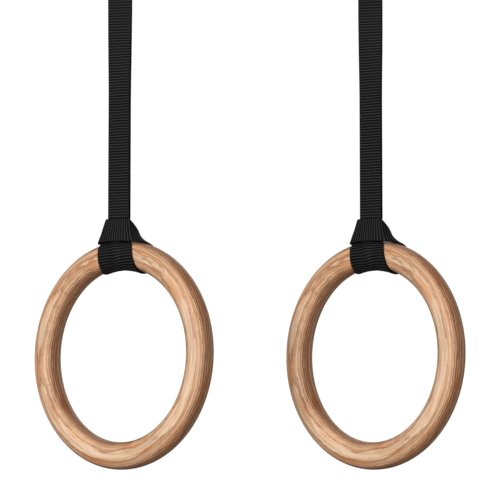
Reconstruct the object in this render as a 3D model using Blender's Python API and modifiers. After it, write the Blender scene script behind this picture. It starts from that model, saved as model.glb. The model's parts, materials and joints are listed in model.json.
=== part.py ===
"""A pair of gymnastics rings, each hung by a doubled webbing sling from a swivelling ceiling anchor.

Each side, from the ceiling down: a hat-shaped anchor plate held by four screws, a swivel eye that
turns in the plate on a thrust washer and a lock nut, a spring-gate carabiner, a webbing sling that
hangs over the carabiner's basket bar, and a laminated wooden ring on which the sling is girth hitched.

The origin is on the ceiling plane, midway between the two anchors. +Z is up, and X runs from the
left ring to the right ring. Lengths are in metres.
"""

import math

import bmesh
import bpy
from mathutils import Matrix, Vector

MM = 0.001
GAP = 0.3 * MM  # between pieces that touch

# Where the two sides hang
SIDES = {
    "left": {"strap_x": -132.9 * MM, "ring_x": -130.0 * MM, "ring_yaw": math.radians(-37.2)},
    "right": {"strap_x": 129.1 * MM, "ring_x": 130.0 * MM, "ring_yaw": math.radians(-44.6)},
}
RING_TILT = math.radians(-1.5)  # the ring's top leans back, its centre hangs under the strap
STRAP_YAW_TOP = math.radians(-6)  # the strap's width direction at the carabiner
STRAP_YAW_HITCH = math.radians(-32)  # and just above the hitch

# Ring: 28 mm stock bent to an inner diameter of 180 mm
RING_RADIUS = 104.0 * MM
RING_HALF_RADIAL = 14.2 * MM
RING_HALF_AXIAL = 13.7 * MM
RING_SEGMENTS = 72
RING_SIDES = 16

# Webbing
WEB_WIDTH = 25.0 * MM
WEB_THICK = 1.9 * MM
WRAP_THICK = 2 * WEB_THICK  # two layers round the limb
TACK_SIZE = Vector((19.0, 0.5, 2.2)) * MM  # a bar tack's raised thread, on one face
TACK_RISE = 6.0 * MM  # from one bar tack to the next

# Ceiling anchor, heights below the ceiling plane
PLATE_RADIUS = 32.0 * MM
PLATE_THICK = 3.0 * MM
CUP_RADIUS = 15.0 * MM
CUP_INNER_RADIUS = 12.0 * MM
CUP_DEPTH = 16.0 * MM
CUP_FLOOR = 3.0 * MM
SCREW_CIRCLE = 23.5 * MM
SCREW_COUNT = 4
SCREW_RADIUS = 2.1 * MM
SCREW_HEAD_RADIUS = 4.2 * MM
SCREW_HEAD_DEPTH = 2.1 * MM
SCREW_REACH = 28.0 * MM
SHANK_RADIUS = 5.0 * MM
WASHER_RADIUS = 10.5 * MM
WASHER_THICK = 1.5 * MM
NUT_ACROSS_FLATS = 17.0 * MM
NUT_HEIGHT = 7.0 * MM
COLLAR_RADIUS = 8.0 * MM
COLLAR_HEIGHT = 4.0 * MM
NECK_RADIUS = 5.6 * MM
EYE_RADIUS = 13.0 * MM
EYE_ROD = 4.0 * MM
EYE_TOP_ROD_Z = -24.0 * MM

# Carabiner, in its own plane, measured from the middle of its basket bar
ROD = 4.5 * MM
CORNER_X = 15.5 * MM
CORNER_RADIUS = 8.0 * MM
CROWN_Z = 60.0 * MM
CROWN_RADIUS = 10.0 * MM
PIN_ALONG = 9.5 * MM  # the gate pin, along the gate side from its lower end
GATE_ROD = 4.3 * MM
GATE_LENGTH = 34.0 * MM
LAP_LENGTH = 6.0 * MM
TANG_THICK = 3.0 * MM
TANG_PAST_PIN = 4.0 * MM
TANG_CORNER = 5.2 * MM  # from the pin to the chamfer across each corner of the tang's end
SLOT_PAST_PIN = 6.6 * MM
PIN_RADIUS = 1.4 * MM
BORE_RADIUS = 2.4 * MM
BORE_END = 26.0 * MM
PLUNGER_TIP = 5.5 * MM
PLUNGER_HEAD_Z = 8.0 * MM
PLUNGER_HEAD_THICK = 1.2 * MM
SPRING_COIL = 1.7 * MM
SPRING_WIRE = 0.35 * MM
SPRING_TURNS = 7

# Heights of the joint centres
SWING_Z = EYE_TOP_ROD_Z - 2 * EYE_RADIUS
BAR_Z = SWING_Z + EYE_ROD + GAP + ROD - CROWN_RADIUS - CROWN_Z
RING_Z = BAR_Z - 400.0 * MM
FLEX_Z = RING_Z + 145.6 * MM
SPLIT_Z = RING_Z + 158.0 * MM
STITCH_Z = RING_Z + 373.0 * MM
HITCH_TOP = 142.9 * MM  # above the ring's centre

# Hitch outlines above the limb, in the ring's frame: s runs along the limb and n to its front.
# Each is z, the middle's s and n from the strap's, half s, half n, and whether it faces as the
# strap does (or as the ring does).
HITCH_OUTLINES = [
    (HITCH_TOP, 0.0, 0.0, 13.4 * MM, 4.4 * MM, True),
    (130.0 * MM, 1.0 * MM, -1.0 * MM, 20.5 * MM, 7.4 * MM, True),
    (119.0 * MM, 2.0 * MM, -3.0 * MM, 27.5 * MM, 12.5 * MM, False),
    (104.0 * MM, 4.0 * MM, -4.5 * MM, 26.5 * MM, 16.2 * MM, False),
    (98.0 * MM, 4.0 * MM, -4.5 * MM, 24.5 * MM, 15.5 * MM, False),
]
HITCH_CORNERS = 0.5  # exponent of the outlines' superellipse: 1 is an ellipse, 0 a rectangle
WRAP_FROM = math.radians(-13.0)  # where the wraps begin round the ring, from its top towards +s
WRAP_TO = math.radians(16.0)


def start_afresh():
    """Empties the scene and makes the two collections."""
    for old in list(bpy.data.objects):
        bpy.data.objects.remove(old)
    made = []
    for name in ("gymnastics_rings", "cutters"):
        collection = bpy.data.collections.new(name)
        bpy.context.scene.collection.children.link(collection)
        made.append(collection)
    return made


def material(name, colour, roughness, metallic=0.0):
    made = bpy.data.materials.new(name)
    made.use_nodes = True
    shader = made.node_tree.nodes["Principled BSDF"]
    shader.inputs["Base Color"].default_value = (*colour, 1.0)
    shader.inputs["Roughness"].default_value = roughness
    shader.inputs["Metallic"].default_value = metallic
    return made


def turn(angle, axis):
    return Matrix.Rotation(angle, 4, axis)


def shift(x, y, z):
    return Matrix.Translation((x, y, z))


def empty(name, place, parent=None):
    """An empty on a joint's axis; place is its world matrix."""
    made = bpy.data.objects.new(name, None)
    PARTS.objects.link(made)
    return held(made, place, parent)


def held(thing, place, parent):
    """Puts thing at the world matrix place, as a child of parent, an empty made by empty()."""
    if parent is not None:
        thing.parent = parent
        thing.matrix_parent_inverse = parent.matrix_basis.inverted()
    thing.matrix_basis = place
    return thing


def part(name, mesh, look, place, parent, smooth=None):
    """Makes a sub-part's object; smooth is the angle above which an edge stays sharp."""
    made = bpy.data.objects.new(name, mesh)
    mesh.name = name
    mesh.materials.clear()
    mesh.materials.append(look)
    if smooth:
        mesh.shade_smooth()
        mesh.set_sharp_from_angle(angle=math.radians(smooth))
    PARTS.objects.link(made)
    return held(made, place, parent)


def cutter(mesh, place):
    made = bpy.data.objects.new("cutter_" + mesh.name, mesh)
    made.hide_render = True
    made.display_type = "WIRE"
    CUTTERS.objects.link(made)
    made.matrix_basis = place
    return made


def boolean(target, tool, operation="DIFFERENCE"):
    change = target.modifiers.new(operation.lower(), "BOOLEAN")
    change.operation = operation
    change.object = tool


def mesh_of(fill, name="shape"):
    """A new mesh that fill(bm) has drawn."""
    bm = bmesh.new()
    fill(bm)
    bmesh.ops.recalc_face_normals(bm, faces=bm.faces)
    made = bpy.data.meshes.new(name)
    bm.to_mesh(made)
    bm.free()
    return made


def block(low, high):
    """A box mesh between two corners."""
    low, high = Vector(low), Vector(high)
    size = Matrix.Diagonal((*(high - low), 1.0))
    place = Matrix.Translation((low + high) / 2) @ size
    return mesh_of(lambda bm: bmesh.ops.create_cube(bm, size=1.0, matrix=place), "block")


def rod(radius, low, high, sides=16):
    """A cylinder mesh along Z."""
    place = Matrix.Translation((0, 0, (low + high) / 2))
    return mesh_of(
        lambda bm: bmesh.ops.create_cone(
            bm,
            cap_ends=True,
            segments=sides,
            radius1=radius,
            radius2=radius,
            depth=high - low,
            matrix=place,
        ),
        "rod",
    )


def torus(major, minor, half_axial, segments, sides):
    """A torus mesh round Z, its section flattened along Z to half_axial."""
    bpy.ops.mesh.primitive_torus_add(
        major_radius=major, minor_radius=minor, major_segments=segments, minor_segments=sides
    )
    made = bpy.context.object
    mesh = made.data
    mesh.shade_smooth()
    bpy.data.objects.remove(made)
    mesh.transform(Matrix.Diagonal((1, 1, half_axial / minor, 1)))
    return mesh


def settled(made):
    """The evaluated mesh of an object, with its own copies of the points; the object is removed."""
    bpy.context.view_layer.update()
    seen = made.evaluated_get(bpy.context.evaluated_depsgraph_get())
    mesh = bpy.data.meshes.new_from_object(seen)
    bpy.data.objects.remove(made)
    bm = bmesh.new()
    bm.from_mesh(mesh)
    bmesh.ops.remove_doubles(bm, verts=bm.verts, dist=0.00001)
    bmesh.ops.recalc_face_normals(bm, faces=bm.faces)
    bm.to_mesh(mesh)
    bm.free()
    return mesh


def turned(profile, steps, closed=False):
    """A turned shape: (radius, z) points down the outer side, swept round Z by a Screw modifier."""
    mesh = bpy.data.meshes.new("turned")
    count = len(profile)
    edges = [(i, i + 1) for i in range(count - 1)] + ([(count - 1, 0)] if closed else [])
    mesh.from_pydata([(r, 0, z) for r, z in profile], edges, [])
    made = bpy.data.objects.new("turned", mesh)
    bpy.context.scene.collection.objects.link(made)
    sweep = made.modifiers.new("screw", "SCREW")
    sweep.steps = sweep.render_steps = steps
    sweep.use_merge_vertices = True
    sweep.merge_threshold = 0.00001
    return settled(made)


def tube(points, radius, resolution):
    """A round rod along points, with flat caps."""
    curve = bpy.data.curves.new("tube", "CURVE")
    curve.dimensions = "3D"
    curve.bevel_depth = radius
    curve.bevel_resolution = resolution
    curve.use_fill_caps = True
    spline = curve.splines.new("POLY")
    spline.points.add(len(points) - 1)
    for point, at in zip(spline.points, points, strict=True):
        point.co = (*at, 1.0)
    made = bpy.data.objects.new("tube", curve)
    bpy.context.scene.collection.objects.link(made)
    return settled(made)


def flat(outline, thickness):
    """A flat outline in the XY plane, thickness deep and centred on it."""
    curve = bpy.data.curves.new("flat", "CURVE")
    curve.dimensions = "2D"
    curve.fill_mode = "BOTH"
    curve.extrude = thickness / 2
    spline = curve.splines.new("POLY")
    spline.points.add(len(outline) - 1)
    for point, (x, y) in zip(spline.points, outline, strict=True):
        point.co = (x, y, 0.0, 1.0)
    spline.use_cyclic_u = True
    made = bpy.data.objects.new("flat", curve)
    bpy.context.scene.collection.objects.link(made)
    return settled(made)


def ribbon(rows, width, thickness):
    """Webbing through rows of (middle, width direction): a bent and twisted grid with Solidify.
    Its faces are cut into triangles, because a twisted four-sided face isn't flat."""
    bm = bmesh.new()
    bmesh.ops.create_grid(bm, x_segments=1, y_segments=len(rows) - 1, size=0.5)
    for vertex in bm.verts:
        middle, across = rows[round((vertex.co.y + 0.5) * (len(rows) - 1))]
        vertex.co = middle + across * (width * vertex.co.x)
    mesh = bpy.data.meshes.new("ribbon")
    bm.to_mesh(mesh)
    bm.free()
    made = bpy.data.objects.new("ribbon", mesh)
    bpy.context.scene.collection.objects.link(made)
    shell = made.modifiers.new("solidify", "SOLIDIFY")
    shell.thickness = thickness
    shell.offset = 0.0
    shell.use_even_offset = True
    mesh = settled(made)
    bm = bmesh.new()
    bm.from_mesh(mesh)
    bmesh.ops.triangulate(bm, faces=bm.faces)
    bm.to_mesh(mesh)
    bm.free()
    return mesh


def arc(centre, radius, start, end, steps):
    """Points on an arc in the XZ plane, at angles from +X towards +Z."""
    angles = [start + (end - start) * i / steps for i in range(steps + 1)]
    return [
        Vector((centre[0] + radius * math.cos(a), 0, centre[1] + radius * math.sin(a))) for a in angles
    ]


def ease(value, low, high):
    """0 below low, 1 above high, and smooth in between."""
    t = min(max((value - low) / (high - low), 0.0), 1.0)
    return t * t * (3 - 2 * t)


def strap_yaw(z):
    """The strap's width direction turns from the hitch's to the carabiner's in its upper half."""
    share = ease(z, RING_Z + 260 * MM, RING_Z + 400 * MM)
    return STRAP_YAW_HITCH + (STRAP_YAW_TOP - STRAP_YAW_HITCH) * share


def strap_row(strap_x, depth, z):
    """A point of the strap at depth behind its middle plane, and its width direction."""
    yaw = strap_yaw(z)
    across = Vector((math.cos(yaw), math.sin(yaw), 0))
    behind = Vector((-math.sin(yaw), math.cos(yaw), 0))
    return Vector((strap_x, 0, z)) + behind * depth, across


def anchor(side, x, swivel):
    """Plate, screws and washer, which stay on the ceiling, and the eye and nut that turn."""
    place = shift(x, 0, 0)
    hole = SHANK_RADIUS + GAP
    plate = part(
        f"anchor_plate_{side}",
        turned(
            [
                (PLATE_RADIUS, 0),
                (PLATE_RADIUS, -PLATE_THICK),
                (CUP_RADIUS, -PLATE_THICK),
                (CUP_RADIUS, -CUP_DEPTH),
                (hole, -CUP_DEPTH),
                (hole, -CUP_DEPTH + CUP_FLOOR),
                (CUP_INNER_RADIUS, -CUP_DEPTH + CUP_FLOOR),
                (CUP_INNER_RADIUS, 0),
            ],
            32,
            closed=True,
        ),
        ZINC,
        place,
        None,
        40,
    )
    screw = turned(
        [
            (0, SCREW_REACH),
            (SCREW_RADIUS, SCREW_REACH - 5 * MM),
            (SCREW_RADIUS, -PLATE_THICK + SCREW_HEAD_DEPTH),
            (SCREW_HEAD_RADIUS, -PLATE_THICK),
            (0, -PLATE_THICK),
        ],
        12,
    )
    sink = turned(
        [
            (0, 1 * MM),
            (SCREW_RADIUS + GAP, 1 * MM),
            (SCREW_RADIUS + GAP, -PLATE_THICK + SCREW_HEAD_DEPTH),
            (SCREW_HEAD_RADIUS + GAP, -PLATE_THICK),
            (SCREW_HEAD_RADIUS + GAP, -PLATE_THICK - 1 * MM),
            (0, -PLATE_THICK - 1 * MM),
        ],
        16,
    )
    for i in range(SCREW_COUNT):
        angle = math.radians(45 + 360 * i / SCREW_COUNT)
        at = place @ shift(SCREW_CIRCLE * math.cos(angle), SCREW_CIRCLE * math.sin(angle), 0)
        boolean(plate, cutter(sink, at))
        part(f"anchor_screw_{side}_{i + 1}", screw, ZINC, at, None, 40)
    floor = -CUP_DEPTH + CUP_FLOOR + GAP
    ring_section = [
        (WASHER_RADIUS, floor + WASHER_THICK),
        (WASHER_RADIUS, floor),
        (hole, floor),
        (hole, floor + WASHER_THICK),
    ]
    part(f"thrust_washer_{side}", turned(ring_section, 24, closed=True), BRONZE, place, None, 40)

    under_nut = floor + WASHER_THICK + GAP
    nut = part(
        f"swivel_nut_{side}",
        rod(NUT_ACROSS_FLATS / 2 / math.cos(math.pi / 6), under_nut, under_nut + NUT_HEIGHT, 6),
        ZINC,
        place,
        swivel,
        30,
    )
    bore = cutter(rod(hole, under_nut - MM, under_nut + NUT_HEIGHT + MM, 24), place)
    boolean(nut, bore)

    collar_top = -CUP_DEPTH - GAP
    collar_low = collar_top - COLLAR_HEIGHT
    shank_top = under_nut + NUT_HEIGHT + 0.8 * MM
    eye = part(
        f"swivel_eye_{side}",
        turned(
            [
                (0, shank_top),
                (SHANK_RADIUS - 0.6 * MM, shank_top),
                (SHANK_RADIUS, shank_top - 0.6 * MM),
                (SHANK_RADIUS, collar_top),
                (COLLAR_RADIUS, collar_top),
                (COLLAR_RADIUS, collar_low),
                (NECK_RADIUS, collar_low - 1 * MM),
                (EYE_ROD * 0.9, EYE_TOP_ROD_Z - EYE_ROD * 0.6),
                (0, EYE_TOP_ROD_Z - EYE_ROD * 0.6),
            ],
            24,
        ),
        ZINC,
        place @ turn(STRAP_YAW_TOP, "Z"),
        swivel,
        40,
    )
    loop = cutter(
        torus(EYE_RADIUS, EYE_ROD, EYE_ROD, 28, 12),
        place
        @ turn(STRAP_YAW_TOP, "Z")
        @ shift(0, 0, EYE_TOP_ROD_Z - EYE_RADIUS)
        @ turn(math.pi / 2, "Y"),
    )
    boolean(eye, loop, "UNION")


def carabiner(side, place, swing, gate_hinge_of):
    """The bent body, the gate on its pin, and the spring and plunger that close the gate."""
    low = Vector((CORNER_X, 0, CORNER_RADIUS))
    top = Vector((0, 0, CROWN_Z))
    along, across = gate_line()
    tilt = math.atan2(across.z, across.x)
    start = low + across * CORNER_RADIUS
    crown_start = top + across * CROWN_RADIUS
    pin = start + along * PIN_ALONG
    nose = pin + along * (GATE_LENGTH + GAP)

    left_corner = (-CORNER_X, CORNER_RADIUS)
    right_corner = (CORNER_X, CORNER_RADIUS)
    points = [nose - along * LAP_LENGTH, nose, (nose + crown_start) / 2]
    points += arc((0, CROWN_Z), CROWN_RADIUS, tilt, math.pi - tilt, 12)
    points += arc(left_corner, CORNER_RADIUS, math.pi - tilt, 1.5 * math.pi, 7)
    points += arc(right_corner, CORNER_RADIUS, -0.5 * math.pi, tilt, 7)
    points += [start + along * (PIN_ALONG - GATE_ROD - GAP), pin + along * TANG_PAST_PIN]
    body = part(f"carabiner_body_{side}", tube(points, ROD, 3), STEEL, place, swing, 50)

    # frame of the gate side: X outwards, Z up the gate, the pin at the origin
    gate_frame = place @ Matrix.Translation(pin) @ turn(math.atan2(along.x, along.z), "Y")
    wide = 2 * ROD
    cheek = (TANG_THICK / 2, wide)
    shoulder = -GATE_ROD - GAP
    for y in (-1, 1):
        ys = sorted(v * y for v in cheek)
        tang_side = block((-wide, ys[0], shoulder), (wide, ys[1], TANG_PAST_PIN + MM))
        boolean(body, cutter(tang_side, gate_frame))
    chamfer = block((TANG_CORNER, -wide, -wide), (2 * wide, wide, wide))
    for angle in (-45, -135):
        boolean(body, cutter(chamfer, gate_frame @ turn(math.radians(angle), "Y")))
    lap_low = GATE_LENGTH - LAP_LENGTH
    lap = block((-wide, -wide, lap_low - MM), (GAP, wide, GATE_LENGTH + GAP))
    boolean(body, cutter(lap, gate_frame))
    pin_hole = rod(PIN_RADIUS + GAP, -wide, wide, 16)
    pin_hole.transform(turn(math.pi / 2, "X"))
    boolean(body, cutter(pin_hole, gate_frame))

    gate_parent = gate_hinge_of(gate_frame.translation)
    round_end = [
        (GATE_ROD * math.cos(a), GATE_ROD * math.sin(a))
        for a in (-math.pi / 2 * i / 5 for i in range(6))
    ]
    round_end[-1] = (0, -GATE_ROD)
    gate = part(
        f"carabiner_gate_{side}",
        turned([(0, GATE_LENGTH), (GATE_ROD, GATE_LENGTH), *round_end], 20),
        STEEL,
        gate_frame,
        gate_parent,
        50,
    )
    slot_half = TANG_THICK / 2 + GAP
    slot = block((-wide, -slot_half, -wide), (wide, slot_half, SLOT_PAST_PIN))
    boolean(gate, cutter(slot, gate_frame))
    boolean(gate, cutter(rod(BORE_RADIUS, SLOT_PAST_PIN - MM, BORE_END, 16), gate_frame))
    outer_half = block((0, -wide, lap_low), (wide, wide, GATE_LENGTH + MM))
    boolean(gate, cutter(outer_half, gate_frame))
    boolean(gate, cutter(pin_hole.copy(), gate_frame))

    pin_mesh = rod(PIN_RADIUS, -GATE_ROD + 0.2 * MM, GATE_ROD - 0.2 * MM, 16)
    pin_mesh.transform(turn(math.pi / 2, "X"))
    part(f"gate_pin_{side}", pin_mesh, STEEL, gate_frame, swing, 40)

    head_radius = BORE_RADIUS - GAP
    plunger = turned(
        [
            (0, PLUNGER_HEAD_Z + PLUNGER_HEAD_THICK),
            (head_radius, PLUNGER_HEAD_Z + PLUNGER_HEAD_THICK),
            (head_radius, PLUNGER_HEAD_Z),
            (head_radius / 2, PLUNGER_HEAD_Z),
            (head_radius / 2, PLUNGER_TIP),
            (0, PLUNGER_TIP),
        ],
        12,
    )
    part(f"gate_plunger_{side}", plunger, BRONZE, gate_frame, gate_parent, 40)

    coil_low = PLUNGER_HEAD_Z + PLUNGER_HEAD_THICK + GAP + SPRING_WIRE
    coil_high = BORE_END - GAP - SPRING_WIRE
    steps = 9 * SPRING_TURNS
    coil = [
        Vector(
            (
                SPRING_COIL * math.cos(math.tau * i / 9),
                SPRING_COIL * math.sin(math.tau * i / 9),
                coil_low + (coil_high - coil_low) * i / steps,
            )
        )
        for i in range(steps + 1)
    ]
    part(f"gate_spring_{side}", tube(coil, SPRING_WIRE, 1), STEEL, gate_frame, gate_parent, 60)


def gate_line():
    """The direction up the straight side from the basket corner to the crown, and its outward
    normal, from the two circles' common tangent."""
    low = Vector((CORNER_X, 0, CORNER_RADIUS))
    between = Vector((0, 0, CROWN_Z)) - low
    up = between.normalized()
    out = Vector((up.z, 0, -up.x))
    sine = (CORNER_RADIUS - CROWN_RADIUS) / between.length
    across = (up * sine + out * math.sqrt(1 - sine * sine)).normalized()
    return Vector((-across.z, 0, across.x)), across


def sling(side, x, sling_swing, sling_twist):
    """The two legs over the basket bar, the bar tacks under it, and the short end above the hitch."""
    turn_radius = ROD + GAP + WEB_THICK / 2
    close = WEB_THICK / 2 + GAP / 2
    opens = STITCH_Z + 12 * MM  # above this the legs part to pass round the bar
    heights = [SPLIT_Z + GAP + (opens - SPLIT_Z - GAP) * i / 22 for i in range(22)]
    heights += [opens + (BAR_Z - opens) * i / 5 for i in range(6)]
    depths = [(close + (turn_radius - close) * ease(z, opens, BAR_Z), z) for z in heights]
    front = [strap_row(x, -d, z) for d, z in depths]
    back = [strap_row(x, d, z) for d, z in reversed(depths)]
    over = []
    for i in range(1, 8):
        angle = math.pi * i / 8
        _, across = strap_row(x, 0, BAR_Z)
        middle, _ = strap_row(x, -turn_radius * math.cos(angle), BAR_Z)
        over.append((middle + Vector((0, 0, turn_radius * math.sin(angle))), across))
    mesh = ribbon(front + over + back, WEB_WIDTH, WEB_THICK)
    bar = shift(x, 0, BAR_Z)
    mesh.transform(bar.inverted())
    part(f"sling_strands_{side}", mesh, WEBBING, bar, sling_swing, 40)

    low, high = -TACK_SIZE / 2, TACK_SIZE / 2
    for i, (face, rise) in enumerate([(-1, 0), (-1, TACK_RISE), (1, 0), (1, TACK_RISE)]):
        z = STITCH_Z + rise
        middle, _ = strap_row(x, face * (close + WEB_THICK / 2 + GAP + TACK_SIZE.y / 2), z)
        place = Matrix.Translation(middle) @ turn(strap_yaw(z), "Z")
        part(f"sling_bar_tack_{side}_{i + 1}", block(low, high), THREAD, place, sling_swing)

    half = WEB_THICK + GAP / 2
    outline = [
        (half * math.cos(a), half * math.sin(a)) for a in (-math.pi * i / 8 for i in range(9))
    ]
    outline += [(-half, SPLIT_Z - FLEX_Z), (half, SPLIT_Z - FLEX_Z)]
    end = flat(outline, WEB_WIDTH)
    end.transform(turn(math.pi / 2, "Z") @ turn(math.pi / 2, "X"))
    place = shift(x, 0, FLEX_Z) @ turn(STRAP_YAW_HITCH, "Z")
    part(f"sling_end_{side}", end, WEBBING, place, sling_twist, 40)


def hitch(side, ring_place, ring_yaw, strap, parent):
    """The sling's wraps round the limb and the band that grips its own legs, as one solid."""
    in_ring = ring_place.inverted() @ strap
    bm = bmesh.new()
    count = 16
    loops = []
    for z, s, n, half_s, half_n, as_strap in HITCH_OUTLINES:
        yaw = turn(STRAP_YAW_HITCH - ring_yaw if as_strap else 0.0, "Z")
        middle = Vector((in_ring.x + s, in_ring.y - n, z))
        loop = []
        for i in range(count):
            c, d = math.cos(math.tau * i / count), math.sin(math.tau * i / count)
            across = half_s * math.copysign(abs(c) ** HITCH_CORNERS, c)
            behind = half_n * math.copysign(abs(d) ** HITCH_CORNERS, d)
            loop.append(bm.verts.new(middle + yaw @ Vector((across, behind, 0))))
        loops.append(loop)
    for upper, lower in zip(loops, loops[1:], strict=False):
        for i in range(count):
            j = (i + 1) % count
            bm.faces.new((upper[i], upper[j], lower[j], lower[i]))
    bm.faces.new(loops[0])
    bm.faces.new(list(reversed(loops[-1])))
    bmesh.ops.recalc_face_normals(bm, faces=bm.faces)
    mesh = bpy.data.meshes.new("hitch")
    bm.to_mesh(mesh)
    bm.free()
    made = part(f"sling_hitch_{side}", mesh, WEBBING, ring_place, parent, 40)

    wrap_radius = RING_HALF_RADIAL + GAP + WRAP_THICK
    top = math.pi / 2
    wrap = tube(arc((0, 0), RING_RADIUS, top - WRAP_TO, top - WRAP_FROM, 6), wrap_radius, 6)
    boolean(made, cutter(wrap, ring_place), "UNION")
    limb = torus(
        RING_RADIUS, RING_HALF_RADIAL + GAP, RING_HALF_AXIAL + GAP, RING_SEGMENTS, RING_SIDES
    )
    boolean(made, cutter(limb, ring_place @ turn(math.pi / 2, "X")))


def build_side(side, strap_x, ring_x, ring_yaw):
    """One ring and all that it hangs from, with an empty on each joint's axis."""
    top_turn = turn(STRAP_YAW_TOP, "Z")
    swivel = empty(f"swivel_{side}", shift(strap_x, 0, 0))
    swing = empty(f"carabiner_swing_{side}", shift(strap_x, 0, SWING_Z) @ top_turn, swivel)
    bar = shift(strap_x, 0, BAR_Z) @ top_turn
    sling_swing = empty(f"sling_swing_{side}", bar, swing)
    sling_twist = empty(f"sling_twist_{side}", shift(strap_x, 0, SPLIT_Z), sling_swing)
    flex_place = shift(strap_x, 0, FLEX_Z) @ turn(STRAP_YAW_HITCH, "Z")
    ring_tilt = empty(f"ring_tilt_{side}", flex_place, sling_twist)

    anchor(side, strap_x, swivel)
    carabiner(
        side, bar, swing, lambda at: empty(f"gate_hinge_{side}", Matrix.Translation(at), swing)
    )
    sling(side, strap_x, sling_swing, sling_twist)
    ring_place = shift(ring_x, 0, RING_Z) @ turn(ring_yaw, "Z") @ turn(RING_TILT, "X")
    hitch(side, ring_place, ring_yaw, Vector((strap_x, 0, RING_Z + HITCH_TOP)), ring_tilt)
    wood = torus(RING_RADIUS, RING_HALF_RADIAL, RING_HALF_AXIAL, RING_SEGMENTS, RING_SIDES)
    place = ring_place @ turn(math.pi / 2, "X")
    part(f"ring_{side}", wood, WOOD, place, ring_tilt, 60)


PARTS, CUTTERS = start_afresh()
WOOD = material("wood", (0.62, 0.40, 0.22), 0.4)
WEBBING = material("webbing", (0.018, 0.018, 0.019), 0.75)
THREAD = material("thread", (0.015, 0.015, 0.016), 0.6)
STEEL = material("polished_steel", (0.62, 0.63, 0.65), 0.28, 1.0)
ZINC = material("zinc_plated_steel", (0.55, 0.56, 0.58), 0.4, 1.0)
BRONZE = material("bronze", (0.55, 0.38, 0.2), 0.4, 1.0)
for name, numbers in SIDES.items():
    build_side(name, **numbers)
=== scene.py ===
"""Gymnastics rings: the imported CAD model, dressed for rendering.

The wooden rings, the ribbed webbing and its stitching are new meshes that stand for their plain
CAD solids. The hardware keeps its CAD shape and gets its own materials. Lengths are in metres.
"""

import json
import math

import bmesh
import bpy
import numpy as np
from mathutils import Matrix, Vector


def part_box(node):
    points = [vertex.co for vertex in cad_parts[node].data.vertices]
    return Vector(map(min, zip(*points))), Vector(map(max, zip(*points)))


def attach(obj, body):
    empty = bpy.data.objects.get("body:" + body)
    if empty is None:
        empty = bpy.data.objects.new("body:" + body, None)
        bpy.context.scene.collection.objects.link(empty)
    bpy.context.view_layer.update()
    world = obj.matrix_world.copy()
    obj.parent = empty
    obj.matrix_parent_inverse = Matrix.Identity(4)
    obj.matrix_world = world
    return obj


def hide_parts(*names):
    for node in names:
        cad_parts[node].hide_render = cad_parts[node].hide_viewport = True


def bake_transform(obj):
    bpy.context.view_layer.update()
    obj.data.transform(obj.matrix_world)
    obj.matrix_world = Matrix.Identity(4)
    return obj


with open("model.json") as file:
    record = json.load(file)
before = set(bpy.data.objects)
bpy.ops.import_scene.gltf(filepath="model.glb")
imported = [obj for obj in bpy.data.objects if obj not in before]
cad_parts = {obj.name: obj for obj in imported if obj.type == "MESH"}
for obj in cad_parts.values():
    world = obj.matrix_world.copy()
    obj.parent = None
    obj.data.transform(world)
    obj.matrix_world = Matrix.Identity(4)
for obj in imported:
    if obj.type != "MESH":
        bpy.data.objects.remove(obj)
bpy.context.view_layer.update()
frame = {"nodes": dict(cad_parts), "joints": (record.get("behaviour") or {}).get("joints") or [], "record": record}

MM = 0.001
SIDES = ("left", "right")
JOINTS = {joint["name"]: joint for joint in frame["joints"]}

# Webbing
WIDTH = 25.4 * MM
THICK = 1.9 * MM
CLOSE = 1.1 * MM  # from the strap's middle plane to a leg's
RIB_PITCH = 2.9 * MM
RIB_HEIGHT = 0.36 * MM
RIB_POWER = 1.2  # above 1, the ribs are narrower than the grooves between them
ROWS_PER_RIB = 8
COLUMNS = 24
EDGE = 0.35 * MM  # how far the rounding of an edge reaches in
EDGE_LEAST = 0.15  # the square of how thick the very edge is, as a share of the webbing
SELVEDGE = 1.1 * MM  # the plain margin along each edge, where the ribs run out
SELVEDGE_LEVEL = 0.35  # how high the margin is, as a share of a rib
UV_PER_METRE = 10
BAR_ROWS = 5  # rows of a leg from the top of the bar to its side
LEG_ROWS = 40  # and from there down to the hitch
CURVE_SAMPLES = 4000  # for measuring the length along a smooth curve

# The strap's width direction turns between the hitch and the carabiner's bar
STRAP_YAW_TOP = math.radians(-6)
STRAP_YAW_HITCH = {"left": math.radians(-26), "right": math.radians(-32)}
TURN_LOW = 260 * MM
TURN_HIGH = 400 * MM
BAR_TURN = 5.75 * MM  # the webbing's middle, from the bar's axis
OPENS = 385 * MM  # above this height over the ring's centre the legs part round the bar

# Where the columns of a strip lie across its width, from -1 to 1, closer together at the edges
ACROSS = -np.cos(np.linspace(0, math.pi, COLUMNS)) * 0.6 + np.linspace(-1, 1, COLUMNS) * 0.4

# Ring
RING_RADIUS = 104.0 * MM
HALF_RADIAL = 14.2 * MM
HALF_AXIAL = 13.7 * MM
RING_AROUND = 360  # points round the ring
RING_SECTION = 96  # and round its section
PLY = 2.3 * MM
FACE_PLY = 13.0 * MM  # from the ring's middle plane to the pale outer plies

# Bar tacks
TACK_STITCHES = 62
TACK_LENGTH = 18.5 * MM
TACK_HALF = 0.95 * MM
THREAD_RADIUS = 0.2 * MM

# Ceiling screws
SCREW_AROUND = 48
SOCKET = 1.5 * MM  # the hexagon's half width, and its depth
CHAMFER = 0.12 * MM
RIM = 0.15 * MM
HEAD_DEPTH = 2.1 * MM
PLAIN_SHANK = 1.5 * MM
SCREW_TIP = 5.0 * MM
SCREW_PITCH = 1.6 * MM
GROOVE = 0.5 * MM
SCREW_CORE = 0.1 * MM
SCREW_ROWS = 170
MERGE = 0.001 * MM

SCREW_SMOOTH = math.radians(35)
CAD_SMOOTH = math.radians(44)

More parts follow.
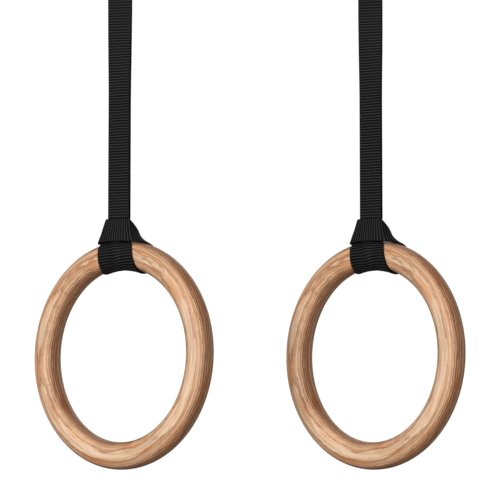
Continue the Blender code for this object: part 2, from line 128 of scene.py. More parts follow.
# Camera and light
LENS = 138.95
CAMERA_PLACE = (0.00305, -2.0, -0.023)  # its height is from the rings' centres
CAMERA_TILT = math.radians(3.77)
FLOOR_Z = -1.25
BACKGROUND_SEEN = 1.05
BACKGROUND_LIGHT = 0.18
LIGHT_TARGET = 0.1  # above the rings' centres
LIGHTS = (  # name, place, size and power
    ("key", (-2.9, -4.6, 0.71), 3.6, 312),
    ("fill", (1.4, -2.6, -0.2), 2.0, 16),
    ("back", (0.6, 2.8, 0.3), 2.6, 18),
    ("above", (0.0, 1.3, 2.4), 3.0, 14),
)


def place_of_ring(side):
    """The ring's centre with X along the limb at its top, Y to the back and Z up."""
    joint = JOINTS[f"ring_spin_{side}"]
    back = Vector(joint["axis"]).normalized()
    along = back.cross(Vector((0, 0, 1))).normalized()
    up = along.cross(back)
    place = Matrix((along, back, up)).transposed().to_4x4()
    place.translation = Vector(joint["pos_m"])
    return place


RING_PLACE = {side: place_of_ring(side) for side in SIDES}
RING_Z = RING_PLACE["left"].translation.z
BAR = {side: Vector(JOINTS[f"sling_swing_{side}"]["pos_m"]) for side in SIDES}
SPLIT = {side: Vector(JOINTS[f"sling_twist_{side}"]["pos_m"]) for side in SIDES}


# Camera


def make_camera():
    camera = bpy.data.objects.new("camera", bpy.data.cameras.new("camera"))
    bpy.context.scene.collection.objects.link(camera)
    camera.data.sensor_width = 36.0
    camera.data.lens = LENS
    camera.data.clip_start = 0.05
    camera.data.clip_end = 100.0
    x, y, lift = CAMERA_PLACE
    camera.location = (x, y, RING_Z + lift)
    camera.rotation_euler = (math.pi / 2 + CAMERA_TILT, 0, 0)
    bpy.context.scene.camera = camera


make_camera()


# Webbing


def ease(value, low, high):
    """0 below low, 1 above high, and smooth in between."""
    t = min(max((value - low) / (high - low), 0.0), 1.0)
    return t * t * (3 - 2 * t)


def strap_frame(side, height):
    """The strap's width direction and its backward direction at a height over the rings' centre."""
    low = STRAP_YAW_HITCH[side]
    yaw = low + (STRAP_YAW_TOP - low) * ease(height, TURN_LOW, TURN_HIGH)
    return Vector((math.cos(yaw), math.sin(yaw), 0)), Vector((-math.sin(yaw), math.cos(yaw), 0))


def strap_middle(side, face, height):
    """The middle of a sling leg: face is -1 for the front leg and 1 for the rear one."""
    _, behind = strap_frame(side, height)
    depth = CLOSE + (BAR_TURN - CLOSE) * ease(height, OPENS, BAR[side].z - RING_Z)
    return Vector((BAR[side].x, 0, RING_Z + height)) + behind * (face * depth)


def through(rows, spacing):
    """Rows of points interpolated by a smooth curve, evenly spaced along their middle line.
    rows is (count, across, 3). Returns the new rows and each one's distance along."""
    rows = np.asarray(rows, float)
    middle = rows[:, rows.shape[1] // 2]
    knots = np.concatenate([[0], np.cumsum(np.linalg.norm(np.diff(middle, axis=0), axis=1))])
    slopes = np.gradient(rows, knots, axis=0, edge_order=1)

    def at(t):
        i = np.clip(np.searchsorted(knots, t, side="right") - 1, 0, len(knots) - 2)
        h = (knots[i + 1] - knots[i])[:, None, None]
        x = ((t - knots[i])[:, None, None]) / h
        a, b = rows[i], rows[i + 1]
        da, db = slopes[i] * h, slopes[i + 1] * h
        return (
            a * (2 * x**3 - 3 * x**2 + 1)
            + da * (x**3 - 2 * x**2 + x)
            + b * (3 * x**2 - 2 * x**3)
            + db * (x**3 - x**2)
        )

    fine = np.linspace(0, knots[-1], CURVE_SAMPLES)
    line = at(fine)[:, rows.shape[1] // 2]
    run = np.concatenate([[0], np.cumsum(np.linalg.norm(np.diff(line, axis=0), axis=1))])
    count = max(2, round(run[-1] / spacing)) + 1
    along = np.linspace(0, run[-1], count)
    return at(np.interp(along, run, fine)), along


def tube_faces(length, ring):
    """The faces round a tube's grid of points, and the points' numbers in that grid."""
    index = np.arange(length * ring).reshape(length, ring)
    after = np.roll(index, -1, axis=1)
    faces = np.stack([index[:-1], after[:-1], after[1:], index[1:]], axis=2)
    return faces.reshape(-1, 4).tolist(), index


def closed_mesh(name, points, faces, merge=0.0):
    """A mesh whose normals point outward. Points within merge of each other become one."""
    mesh = bpy.data.meshes.new(name)
    mesh.from_pydata(points.reshape(-1, 3).tolist(), [], faces)
    bm = bmesh.new()
    bm.from_mesh(mesh)
    if merge:
        bmesh.ops.remove_doubles(bm, verts=bm.verts, dist=merge)
    bmesh.ops.recalc_face_normals(bm, faces=bm.faces)
    bm.to_mesh(mesh)
    bm.free()
    return mesh


def webbing_mesh(name, rows, pitch=RIB_PITCH):
    """A closed strip of ribbed webbing through rows of points across its middle surface."""
    surface, along = through(rows, pitch / ROWS_PER_RIB)
    dv = np.gradient(surface, axis=0)
    du = np.gradient(surface, axis=1)
    normal = np.cross(dv, du)
    normal /= np.linalg.norm(normal, axis=2)[:, :, None]
    margin = (1 - np.abs(ACROSS)) * WIDTH / 2
    plain = np.clip(margin / SELVEDGE, 0, 1)[None, :]
    wave = 0.5 + 0.5 * np.cos(math.tau * along / pitch)
    rib = wave[:, None] ** RIB_POWER * plain + SELVEDGE_LEVEL * (1 - plain)
    half = THICK / 2 - RIB_HEIGHT * (1 - rib)
    inside = np.clip(1 - margin / EDGE, 0, 1)
    half = half * np.sqrt(np.clip(1 - inside**2, EDGE_LEAST, 1))[None, :]
    top = surface + normal * half[:, :, None]
    low = surface - normal * half[:, :, None]

    loop = np.concatenate([top, low[:, ::-1]], axis=1)
    length, ring = loop.shape[:2]
    faces, index = tube_faces(length, ring)
    ends = [index[0][::-1].tolist(), index[-1].tolist()]
    mesh = closed_mesh(name, loop, faces + ends)
    across = ACROSS * WIDTH / 2
    set_uv(mesh, np.tile(np.concatenate([across, across[::-1]]), length), np.repeat(along, ring))
    # the rib's height at each point; the webbing material uses it to paint the grooves and low margins dark as
    # shade and the crests lighter as a painted highlight
    level = np.concatenate([rib, rib[:, ::-1]], axis=1).ravel()
    mesh.attributes.new("rib", "FLOAT", "POINT").data.foreach_set("value", level.astype(np.float32))
    mesh.shade_smooth()
    return mesh


def set_uv(mesh, u, v):
    """A UV map in tenths of a metre: across the webbing, and along it."""
    layer = mesh.uv_layers.new(name="webbing")
    corners = np.zeros(len(mesh.loops), np.int32)
    mesh.loops.foreach_get("vertex_index", corners)
    uv = np.stack([u[corners], v[corners]], axis=1) * UV_PER_METRE
    layer.data.foreach_set("uv", uv.astype(np.float32).reshape(-1))


def piece(name, mesh, look, place=None):
    made = bpy.data.objects.new(name, mesh)
    bpy.context.scene.collection.objects.link(made)
    if place is not None:
        made.matrix_world = place
    mesh.materials.append(look)
    return made


def crossways(centre, across):
    """A straight row of points across a strip."""
    return [centre + across * (u * WIDTH / 2) for u in ACROSS]


def leg_rows(side, face):
    """The rows of one leg, from the top of the bar down to where the hitch's webbing starts."""
    bar = BAR[side]
    across, behind = strap_frame(side, bar.z - RING_Z)
    lines = []
    for i in range(BAR_ROWS):
        angle = math.pi / 2 * (1 - i / BAR_ROWS)
        out = behind * (face * math.cos(angle)) + Vector((0, 0, math.sin(angle)))
        lines.append((bar + out * BAR_TURN, across))
    low, high = SPLIT[side].z - RING_Z, bar.z - RING_Z
    for i in range(LEG_ROWS + 1):
        height = high - (high - low) * i / LEG_ROWS
        lines.append((strap_middle(side, face, height), strap_frame(side, height)[0]))
    rows = [crossways(centre, across) for centre, across in lines]
    return np.array(rows), [centre for centre, _ in lines]


def make_legs(side):
    """The two long legs of a sling. They twist between the bar and the hitch."""
    made = []
    for face, name in ((-1, "front"), (1, "rear")):
        rows, centres = leg_rows(side, face)
        mesh = webbing_mesh(f"sling_{name}_{side}", rows[::-1])
        made.append((piece(mesh.name, mesh, WEBBING), centres))
    return made


def ring_point(side, s, n, z):
    """A point by s along the limb, n to the ring's front and z up from its centre, in mm."""
    return RING_PLACE[side] @ Vector((s * MM, -n * MM, z * MM))


# The band over the standing legs: its upper and lower edges, each as (s, n, z), and how far it
# sags towards the limb between them, all in mm
BAND = [
    ((12.5, -12.5, 117.0), (34.9, -10.0, 109.5), 3.4),
    ((15.3, -6.0, 127.5), (34.3, -1.5, 113.8), 3.2),
    ((15.2, 0.0, 134.0), (29.0, 5.5, 115.2), 2.4),
    ((12.8, 6.3, 140.3), (22.0, 10.5, 116.0), 1.2),
    ((7.0, 8.6, 141.3), (11.0, 12.8, 116.6), 0.0),
    ((-2.0, 9.2, 141.3), (0.0, 14.0, 116.6), 0.0),
    ((-11.0, 9.5, 141.2), (-12.0, 13.5, 116.6), 0.0),
    ((-17.4, 7.5, 140.8), (-24.5, 11.0, 115.8), 0.0),
    ((-18.0, 1.5, 139.0), (-30.0, 5.0, 115.4), 0.0),
    ((-12.5, -5.0, 133.5), (-30.2, -2.0, 115.6), 0.0),
    ((-5.0, -11.5, 122.5), (-27.2, -9.5, 112.5), 0.0),
]
# Where each leg's middle lies as it goes round the limb: (angle from the front, s in mm, and by
# how many degrees the right-hand edge of a row is ahead of its middle)
WRAP_A = [(58, 4.5, 3), (35, 8.0, 7), (10, 11.0, 9), (-20, 13.3, 9), (-50, 14.6, 7), (-80, 15.2, 5),
          (-110, 16.0, 3), (-140, 18.0, 1), (-170, 20.0, 0), (-200, 21.3, 0)]
WRAP_B = [(58, -12.0, 0), (35, -11.3, -1), (10, -9.6, -2), (-20, -9.1, -2), (-50, -9.6, -1),
          (-80, -11.7, 0), (-110, -12.0, 0), (-140, -11.5, 0), (-170, -10.5, 0), (-200, -9.5, 0)]
STANDING = [(150, 0.0, 0.0), (143, 0.0, 0.0), (134, 0.8, 0.4), (125, 2.6, 1.6)]
HITCH_SHIFT = {"left": -0.6, "right": 1.6}  # of all of this along the limb, in mm
LAYER = 1.25  # from the wood to the middle of the webbing that lies on it, in mm
SLACK_BELOW = 0.5  # how much more that is under the limb
OVERLAP = 2.05  # from one layer's middle to the next one's, in mm
STEP = 5.0  # how wide the step down from an overlap is, in mm


def wrap_row(side, angle, middle, lean, covered=-99.0):
    """A row round the limb; covered is the s up to which it lies on another layer."""
    row = []
    for u in ACROSS:
        a = math.radians(angle + u * lean)
        s = middle + HITCH_SHIFT[side] + u * WIDTH / 2 / MM
        lift = LAYER + SLACK_BELOW * max(0.0, -math.sin(a)) ** 2
        lift += OVERLAP * (1 - ease(s, covered, covered + STEP))
        n = (HALF_AXIAL / MM + lift) * math.cos(a)
        r = RING_RADIUS / MM + (HALF_RADIAL / MM + lift) * math.sin(a)
        row.append(ring_point(side, s, n, math.sqrt(r * r - s * s)))
    return row


def standing_rows(side, face):
    """The short length above the hitch and behind its band, from the top down."""
    top = SPLIT[side].z - RING_Z
    rows = []
    for height in (top, top - 4 * MM):
        rows.append(crossways(strap_middle(side, face, height), strap_frame(side, height)[0]))
    for z, shift_s, shift_n in STANDING:
        local = RING_PLACE[side].inverted() @ strap_middle(side, face, z * MM)
        local.x -= shift_s * MM * face
        local.y -= shift_n * MM
        rows.append(crossways(RING_PLACE[side] @ local, strap_frame(side, z * MM)[0]))
    return rows


def band_row(side, upper, lower, sag):
    """A row from the band's upper edge to its lower one."""
    upper, lower = Vector(upper), Vector(lower)
    row = []
    for u in ACROSS:
        t = (u + 1) / 2
        point = upper.lerp(lower, t)
        s = point.x + HITCH_SHIFT[side] - sag * 4 * t * (1 - t)
        row.append(ring_point(side, s, point.y, point.z))
    return row


def hitch_rows(side):
    """One strip: down the front leg, round the limb, up, across as the band, and back again."""
    half = WIDTH / 2 / MM
    cover = [s + HITCH_SHIFT[side] + half if angle > -70 else -99.0 for angle, s, _ in WRAP_B]
    front = standing_rows(side, -1)
    front += [wrap_row(side, *row, covered) for row, covered in zip(WRAP_A, cover)]
    band = [band_row(side, *row) for row in BAND]
    rear = standing_rows(side, 1)
    rear += [wrap_row(side, *row) for row in WRAP_B]
    rear = [row[::-1] for row in reversed(rear)]
    return np.array([[list(p) for p in row] for row in front + band + rear])


def make_hitch(side):
    rows = hitch_rows(side)
    _, along = through(rows, RIB_PITCH)
    pitch = along[-1] / round(along[-1] / RIB_PITCH)
    mesh = webbing_mesh(f"hitch_webbing_{side}", rows, pitch)
    return piece(mesh.name, mesh, WEBBING)


# Materials


def node(tree, kind, **settings):
    """A new node. Each setting is one of its properties, or else the value of an input."""
    made = tree.nodes.new(kind)
    for key, value in settings.items():
        if hasattr(made, key):
            setattr(made, key, value)
        else:
            made.inputs[key].default_value = value
    return made


def two_colours(tree, factor, *stops):
    """A ramp between two colours. Each stop is a position and a colour."""
    ramp = node(tree, "ShaderNodeValToRGB")
    for stop, (position, colour) in zip(ramp.color_ramp.elements, stops):
        stop.position, stop.color = position, (*colour, 1)
    tree.links.new(factor, ramp.inputs["Fac"])
    return ramp.outputs["Color"]


def add_bump(tree, shader, height, strength, distance):
    bump = node(tree, "ShaderNodeBump", Strength=strength, Distance=distance)
    tree.links.new(height, bump.inputs["Height"])
    tree.links.new(bump.outputs["Normal"], shader.inputs["Normal"])


def new_material(name, colour, **inputs):
    """A material, its node tree and its shader, with values for the shader's inputs."""
    made = bpy.data.materials.new(name)
    made.use_nodes = True
    shader = made.node_tree.nodes["Principled BSDF"]
    shader.inputs["Base Color"].default_value = (*colour, 1.0)
    for key, value in inputs.items():
        shader.inputs[key.replace("_", " ")].default_value = value
    return made, made.node_tree, shader


def webbing_material():
    made, tree, shader = new_material(
        "webbing_black", (0.02, 0.02, 0.021), Roughness=0.6, Sheen_Weight=0.01, Sheen_Roughness=0.4
    )
    shader.inputs["Specular IOR Level"].default_value = 0.08
    link = tree.links.new
    uv = node(tree, "ShaderNodeUVMap", uv_map="webbing")
    # yarn runs along the webbing: fine lines across its width, broken up along its length
    stretch = node(tree, "ShaderNodeMapping")
    stretch.inputs["Scale"].default_value = (230.0, 26.0, 1.0)
    link(uv.outputs["UV"], stretch.inputs["Vector"])
    yarn = node(tree, "ShaderNodeTexNoise", Scale=1.0, Detail=3.0, Roughness=0.6)
    link(stretch.outputs["Vector"], yarn.inputs["Vector"])
    rib = node(tree, "ShaderNodeAttribute", attribute_name="rib")
    # painted shade and painted highlight: going by the rib's height, the grooves are painted near black as shade
    # and the crests lighter as the light falling on them
    groove, crest_painted_highlight = (0.45, (0.0010, 0.0009, 0.0010)), (0.95, (0.031, 0.029, 0.031))
    shade = two_colours(tree, rib.outputs["Fac"], groove, crest_painted_highlight)
    vary = node(tree, "ShaderNodeMapRange")
    vary.inputs["From Min"].default_value = 0.3
    vary.inputs["From Max"].default_value = 0.7
    vary.inputs["To Min"].default_value = 0.7
    vary.inputs["To Max"].default_value = 1.35
    link(yarn.outputs["Fac"], vary.inputs["Value"])
    mix = node(tree, "ShaderNodeVectorMath", operation="MULTIPLY")
    link(shade, mix.inputs[0])
    link(vary.outputs["Result"], mix.inputs[1])
    link(mix.outputs["Vector"], shader.inputs["Base Color"])
    add_bump(tree, shader, yarn.outputs["Fac"], 0.5, 0.25 * MM)
    return made


def wood_material():
    """Plywood: layers at right angles to the ring's axis, with pale outer ones, under varnish."""
    made, tree, shader = new_material(
        "ring_plywood", (0.5, 0.28, 0.15), Roughness=0.5, Coat_Weight=0.05, Coat_Roughness=0.45
    )
    shader.inputs["Specular IOR Level"].default_value = 0.35
    link = tree.links.new

    def calc(operation, a, b=None):
        made = node(tree, "ShaderNodeMath", operation=operation)
        for i, value in enumerate((a, b)):
            if isinstance(value, (int, float)):
                made.inputs[i].default_value = value
            elif value is not None:
                link(value, made.inputs[i])
        return made.outputs[0]

    def fade(value, low, high, to_low=0.0, to_high=1.0):
        made = node(tree, "ShaderNodeMapRange", interpolation_type="SMOOTHSTEP")
        for i, number in enumerate((low, high, to_low, to_high)):
            made.inputs[i + 1].default_value = number
        link(value, made.inputs[0])
        return made.outputs[0]

    def colour_mix(factor, a, b, blend="MIX"):
        made = node(tree, "ShaderNodeMix", data_type="RGBA", blend_type=blend)
        for i, value in ((0, factor), (6, a), (7, b)):
            if isinstance(value, tuple):
                made.inputs[i].default_value = (*value, 1)
            else:
                link(value, made.inputs[i])
        return made.outputs[2]

    # x and z in the ring's plane, y along its axis
    place = node(tree, "ShaderNodeAttribute", attribute_name="ring_space")
    split = node(tree, "ShaderNodeSeparateXYZ")
    link(place.outputs["Vector"], split.inputs["Vector"])
    x, y, z = split.outputs
    angle = calc("ARCTAN2", x, z)
    radius = calc("SQRT", calc("ADD", calc("MULTIPLY", x, x), calc("MULTIPLY", z, z)))

    def noise(round_scale, depth_scale, radial_scale, detail, roughness):
        """Noise with its own scale round the ring, along its axis and along its radius."""
        join = node(tree, "ShaderNodeCombineXYZ")
        link(calc("MULTIPLY", calc("SINE", angle), round_scale * RING_RADIUS), join.inputs[0])
        link(calc("MULTIPLY", calc("COSINE", angle), round_scale * RING_RADIUS), join.inputs[1])
        outward = calc("MULTIPLY", radius, radial_scale)
        link(calc("ADD", calc("MULTIPLY", y, depth_scale), outward), join.inputs[2])
        made = node(tree, "ShaderNodeTexNoise", Scale=1.0, Detail=detail, Roughness=roughness)
        link(join.outputs[0], made.inputs["Vector"])
        return made.outputs["Fac"]

    # the layers wave, which draws long islands where the surface runs along them
    slow = calc("MULTIPLY", calc("SUBTRACT", noise(19.0, 30.0, 50.0, 2.0, 0.5), 0.5), 4.4 * MM)
    quick = calc("MULTIPLY", calc("SUBTRACT", noise(50.0, 240.0, 380.0, 5.0, 0.7), 0.5), 2.2 * MM)
    tilt = calc("SUBTRACT", calc("MULTIPLY", z, 0.002), calc("MULTIPLY", x, 0.004))
    depth = calc("ADD", calc("ADD", calc("ADD", y, tilt), slow), quick)
    layer = calc("DIVIDE", depth, PLY)
    within = calc("FRACT", layer)
    tone = node(tree, "ShaderNodeTexWhiteNoise", noise_dimensions="1D")
    link(calc("FLOOR", layer), tone.inputs["W"])
    line = fade(calc("ABSOLUTE", calc("SUBTRACT", within, 0.5)), 0.27, 0.41)
    reach = calc("ABSOLUTE", depth)
    outer = fade(reach, FACE_PLY + 0.05 * MM, FACE_PLY + 0.25 * MM)
    border = calc("ABSOLUTE", calc("SUBTRACT", reach, FACE_PLY))
    outline = fade(border, 0.35 * MM, 0.08 * MM)
    # grain drawn out round the ring, and slow changes of colour
    streak = noise(16.0, 640.0, 480.0, 6.0, 0.70)
    grain = noise(90.0, 1500.0, 1000.0, 4.0, 0.7)
    patch = noise(22.0, 120.0, 150.0, 3.0, 0.6)
    speck = noise(380.0, 1500.0, 900.0, 2.0, 0.6)

    tone = tone.outputs["Value"]
    shade = calc("ADD", calc("MULTIPLY", tone, 0.30), calc("MULTIPLY", streak, 0.72))
    shade = calc("ADD", shade, calc("MULTIPLY", grain, 0.55))
    dark, light = (0.54, (0.26, 0.098, 0.040)), (0.98, (0.74, 0.435, 0.245))
    colour = two_colours(tree, shade, dark, light)
    # a thin line between two layers is dark or pale
    thin = colour_mix(fade(tone, 0.45, 0.55), (0.15, 0.056, 0.022), (0.78, 0.53, 0.34))
    strength = fade(reach, 10.5 * MM, 12.9 * MM, 0.95, 0.35)
    colour = colour_mix(calc("MULTIPLY", line, strength), colour, thin)
    pale = colour_mix(fade(streak, 0.36, 0.62), (0.54, 0.34, 0.20), (0.80, 0.58, 0.41))
    colour = colour_mix(calc("MULTIPLY", outer, 0.9), colour, pale)
    colour = colour_mix(calc("MULTIPLY", outline, 0.42), colour, (0.24, 0.10, 0.04))
    warm = fade(patch, 0.50, 0.70, 0.0, 0.75)
    colour = colour_mix(warm, colour, (0.92, 0.60, 0.36), "MULTIPLY")
    colour = colour_mix(fade(speck, 0.60, 0.75, 0.0, 0.5), colour, (0.28, 0.12, 0.05))
    link(colour, shader.inputs["Base Color"])
    link(fade(grain, 0.3, 0.7, 0.40, 0.54), shader.inputs["Roughness"])
    add_bump(tree, shader, grain, 0.15, 0.2 * MM)
    return made


def metal_material(name, colour, roughness, cloud, scratch):
    """A metal with faint clouds in its colour and roughness, and fine scratches in its gloss."""
    made, tree, shader = new_material(name, colour, Metallic=1.0, Roughness=roughness)
    link = tree.links.new
    space = node(tree, "ShaderNodeTexCoord")
    clouds = node(tree, "ShaderNodeTexNoise", Scale=cloud, Detail=3.0, Roughness=0.5)
    link(space.outputs["Object"], clouds.inputs["Vector"])
    stretch = node(tree, "ShaderNodeMapping")
    stretch.inputs["Scale"].default_value = (1.0, 1.0, 0.06)
    link(space.outputs["Object"], stretch.inputs["Vector"])
    fine = node(tree, "ShaderNodeTexNoise", Scale=scratch, Detail=4.0, Roughness=0.7)
    link(stretch.outputs["Vector"], fine.inputs["Vector"])
    both = node(tree, "ShaderNodeMath", operation="ADD")
    link(clouds.outputs["Fac"], both.inputs[0])
    link(fine.outputs["Fac"], both.inputs[1])
    rough = node(tree, "ShaderNodeMapRange")
    for i, value in enumerate((0.7, 1.3, roughness * 0.85, roughness * 1.2)):
        rough.inputs[i + 1].default_value = value
    link(both.outputs[0], rough.inputs["Value"])
    link(rough.outputs["Result"], shader.inputs["Roughness"])
    dull, bright = ([c * factor for c in colour] for factor in (0.92, 1.06))
    clouded = two_colours(tree, clouds.outputs["Fac"], (0.3, dull), (0.7, bright))
    link(clouded, shader.inputs["Base Color"])
    add_bump(tree, shader, fine.outputs["Fac"], 0.05, 0.05 * MM)
    return made


def thread_material():
    made, tree, shader = new_material(
        "bonded_thread", (0.02, 0.02, 0.021), Roughness=0.4, Sheen_Weight=0.2
    )
    link = tree.links.new
    space = node(tree, "ShaderNodeTexCoord")
    twist = node(tree, "ShaderNodeTexNoise", Scale=3000.0, Detail=3.0)
    link(space.outputs["Object"], twist.inputs["Vector"])
    dark, light = (0.35, (0.010, 0.010, 0.011)), (0.65, (0.045, 0.044, 0.047))
    link(two_colours(tree, twist.outputs["Fac"], dark, light), shader.inputs["Base Color"])
    add_bump(tree, shader, twist.outputs["Fac"], 0.3, 0.1 * MM)
    return made


WEBBING = webbing_material()
THREAD = thread_material()
WOOD = wood_material()
STEEL = metal_material("polished_steel_fine", (0.74, 0.75, 0.77), 0.20, 60.0, 2500.0)
ZINC = metal_material("zinc_plate", (0.70, 0.71, 0.73), 0.34, 90.0, 1800.0)
BRONZE = metal_material("sintered_bronze", (0.66, 0.44, 0.22), 0.42, 200.0, 2500.0)
LOOKS = {
    "polished_steel": STEEL,
    "zinc_plated_steel": ZINC,
    "bronze": BRONZE,
    "wood": WOOD,
    "webbing": WEBBING,
    "thread": THREAD,
}


# Stitching, rings and screws


def bar_tack_mesh(name):
    """A zigzag of thread, drawn in X and Z, which lies on the webbing's face."""
    curve = bpy.data.curves.new(name, "CURVE")
    curve.dimensions = "3D"
    curve.bevel_depth = THREAD_RADIUS
    curve.bevel_resolution = 2
    curve.use_fill_caps = True
    spline = curve.splines.new("POLY")
    spline.points.add(TACK_STITCHES)
    for i in range(TACK_STITCHES + 1):
        x = (i / TACK_STITCHES - 0.5) * TACK_LENGTH
        z = TACK_HALF if i % 2 else -TACK_HALF
        spline.points[i].co = (x, 0, z, 1)
    made = bpy.data.objects.new(name, curve)
    bpy.context.scene.collection.objects.link(made)
    bpy.context.view_layer.update()
    evaluated = made.evaluated_get(bpy.context.evaluated_depsgraph_get())
    mesh = bpy.data.meshes.new_from_object(evaluated)
    bpy.data.objects.remove(made)
    mesh.name = name
    mesh.shade_smooth()
    return mesh


def make_tacks(side):
    """The four bar tacks of a sling, two on each face."""
    made = []
    for i in range(1, 5):
        cad = f"sling_bar_tack_{side}_{i}"
        low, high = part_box(cad)
        centre = (low + high) / 2
        across, _ = strap_frame(side, centre.z - RING_Z)
        yaw = math.atan2(across.y, across.x)
        place = Matrix.Translation(centre) @ Matrix.Rotation(yaw, 4, "Z")
        name = f"stitching_{side}_{i}"
        tack = piece(name, bar_tack_mesh(name), THREAD, place)
        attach(tack, f"sling_{side}")
        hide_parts(cad)
        made.append(tack)
    return made


def make_ring(side):
    """A finer torus than the CAD's. It keeps its own coordinates, so its grain goes with it."""
    around = math.tau * np.arange(RING_AROUND) / RING_AROUND
    section = math.tau * np.arange(RING_SECTION) / RING_SECTION
    a, b = np.meshgrid(around, section, indexing="ij")
    r = RING_RADIUS + HALF_RADIAL * np.cos(b)
    local = np.stack([r * np.sin(a), HALF_AXIAL * np.sin(b), r * np.cos(a)], axis=2).reshape(-1, 3)
    place = np.array(RING_PLACE[side])
    index = np.arange(RING_AROUND * RING_SECTION).reshape(RING_AROUND, RING_SECTION)
    beside, above = np.roll(index, -1, axis=0), np.roll(index, -1, axis=1)
    corner = np.roll(beside, -1, axis=1)
    faces = np.stack([index, above, corner, beside], axis=2).reshape(-1, 4)
    points = local @ place[:3, :3].T + place[:3, 3]
    mesh = bpy.data.meshes.new(f"wood_ring_{side}")
    mesh.from_pydata(points.tolist(), [], faces.tolist())
    own = mesh.attributes.new("ring_space", "FLOAT_VECTOR", "POINT")
    own.data.foreach_set("vector", local.astype(np.float32).ravel())
    mesh.shade_smooth()
    ring = piece(mesh.name, mesh, WOOD)
    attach(ring, f"ring_{side}")
    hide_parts(f"ring_{side}")


def screw_rows(head, reach, turn):
    """A countersunk screw's outline, as radii round its axis at heights from its head's face."""
    even = np.ones(SCREW_AROUND)
    sector = (turn + math.pi / 6) % (math.pi / 3) - math.pi / 6
    socket = SOCKET / np.cos(sector)
    shank = head / 2
    start = HEAD_DEPTH + PLAIN_SHANK
    rows = [
        (0 * even, SOCKET),
        (socket, SOCKET),
        (socket, CHAMFER),
        (socket + CHAMFER, 0.0),
        ((head - RIM) * even, 0.0),
        (head * even, CHAMFER),
        (shank * even, HEAD_DEPTH),
        (shank * even, start),
    ]
    for step in range(SCREW_ROWS):
        z = start + (reach - start) * step / (SCREW_ROWS - 1)
        taper = min(1.0, (reach - z) / SCREW_TIP)
        groove = GROOVE * min(1.0, (z - start) / SCREW_PITCH)
        wave = (((z / SCREW_PITCH - turn / math.tau) % 1) * 2 - 1) ** 2
        rows.append((np.maximum(shank - groove * (1 - wave), SCREW_CORE) * taper, z))
    return rows


def make_screws(side):
    """Countersunk screws with a hexagon socket and a rolled thread."""
    turn = math.tau * np.arange(SCREW_AROUND) / SCREW_AROUND
    for i in range(1, 5):
        cad = f"anchor_screw_{side}_{i}"
        low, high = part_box(cad)
        foot = np.array([(low.x + high.x) / 2, (low.y + high.y) / 2, low.z])
        rows = screw_rows((high.x - low.x) / 2, high.z - low.z, turn)
        grid = [
            np.stack([r * np.cos(turn), r * np.sin(turn), z + 0 * turn], axis=1) for r, z in rows
        ]
        faces, _ = tube_faces(len(rows), SCREW_AROUND)
        mesh = closed_mesh(f"ceiling_screw_{side}_{i}", np.array(grid) + foot, faces, MERGE)
        smooth_normals(mesh, SCREW_SMOOTH)
        screw = piece(mesh.name, mesh, ZINC)
        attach(screw, "anchors")
        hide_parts(cad)


def smooth_normals(mesh, limit):
    """Soften the shading between faces that meet at less than limit. No point moves."""
    mesh.shade_smooth()
    loops, faces = len(mesh.loops), len(mesh.polygons)
    corner = np.zeros(loops, np.int32)
    mesh.loops.foreach_get("vertex_index", corner)
    points = np.zeros(len(mesh.vertices) * 3, np.float32)
    mesh.vertices.foreach_get("co", points)
    _, spot = np.unique(np.round(points.reshape(-1, 3), 6), axis=0, return_inverse=True)
    spot = spot.ravel()[corner]
    flat = np.zeros(faces * 3, np.float32)
    mesh.polygons.foreach_get("normal", flat)
    sizes = np.zeros(faces, np.int32)
    mesh.polygons.foreach_get("loop_total", sizes)
    area = np.zeros(faces, np.float32)
    mesh.polygons.foreach_get("area", area)
    own = np.repeat(flat.reshape(-1, 3), sizes, axis=0)
    weight = np.repeat(np.sqrt(area), sizes)
    order = np.argsort(spot, kind="stable")
    result = own.copy()
    for group in np.split(order, np.flatnonzero(np.diff(spot[order])) + 1):
        near = own[group] @ own[group].T > math.cos(limit)
        result[group] = near @ (own[group] * weight[group, None])
    lengths = np.linalg.norm(result, axis=1)[:, None]
    result = np.where(lengths > 1e-9, result / np.maximum(lengths, 1e-9), own)
    mesh.normals_split_custom_set(result.tolist())


for side in SIDES:
    legs = make_legs(side)
    tacks = make_tacks(side)
    hitch = make_hitch(side)
    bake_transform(hitch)
    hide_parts(f"sling_hitch_{side}", f"sling_end_{side}")
    for leg, centres in legs:
        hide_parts(f"sling_strands_{side}")
        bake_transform(leg)
    make_ring(side)
    make_screws(side)

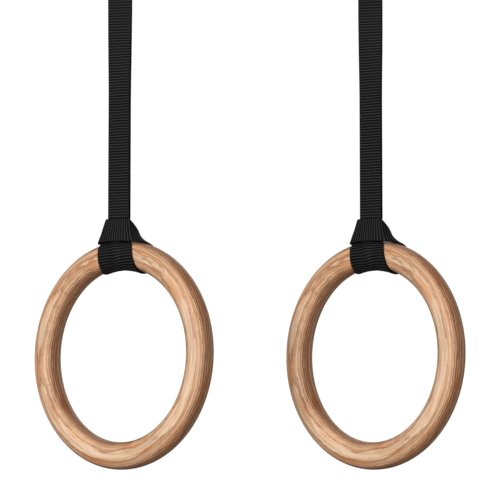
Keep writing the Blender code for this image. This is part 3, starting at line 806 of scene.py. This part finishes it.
for entry in frame["record"]["subparts"]:
    cad = frame["nodes"][entry["node"]]
    look = LOOKS[entry["material_slot"]]
    if not cad.material_slots:
        cad.data.materials.append(look)
    for filled in cad.material_slots:
        filled.material = look
    smooth_normals(cad.data, CAD_SMOOTH)


# Stage and light


def make_stage():
    mesh = bpy.data.meshes.new("floor")
    bm = bmesh.new()
    bmesh.ops.create_circle(bm, cap_ends=True, segments=96, radius=6.0)
    bm.to_mesh(mesh)
    bm.free()
    look, _, shader = new_material("floor_pale", (0.4, 0.4, 0.4), Roughness=0.9)
    shader.inputs["Emission Color"].default_value = (1, 1, 1, 1)
    shader.inputs["Emission Strength"].default_value = 0.74
    shader.inputs["Specular IOR Level"].default_value = 0.1
    floor = piece("floor", mesh, look, Matrix.Translation((0, 0, FLOOR_Z)))
    floor.visible_diffuse = False
    floor.visible_glossy = False


def area_light(name, place, size, power):
    data = bpy.data.lights.new(name, "AREA")
    data.shape = "DISK"
    data.size = size
    data.energy = power
    light = bpy.data.objects.new(name, data)
    bpy.context.scene.collection.objects.link(light)
    light.location = place
    light.visible_camera = False
    towards = Vector((0, 0, RING_Z + LIGHT_TARGET)) - Vector(place)
    light.rotation_euler = towards.to_track_quat("-Z", "Y").to_euler()


def make_light():
    """A white background, seen brighter than it lights, and soft lights."""
    world = bpy.data.worlds.new("studio")
    bpy.context.scene.world = world
    world.use_nodes = True
    tree = world.node_tree
    tree.nodes.clear()
    mix = node(tree, "ShaderNodeMixShader")
    path = node(tree, "ShaderNodeLightPath")
    tree.links.new(path.outputs["Is Camera Ray"], mix.inputs["Fac"])
    for i, strength in ((1, BACKGROUND_LIGHT), (2, BACKGROUND_SEEN)):
        white = node(tree, "ShaderNodeBackground", Color=(1, 1, 1, 1), Strength=strength)
        tree.links.new(white.outputs[0], mix.inputs[i])
    out = node(tree, "ShaderNodeOutputWorld")
    tree.links.new(mix.outputs[0], out.inputs["Surface"])
    for light in LIGHTS:
        area_light(*light)
    bpy.context.scene.view_settings.view_transform = "Standard"


make_stage()
make_light()
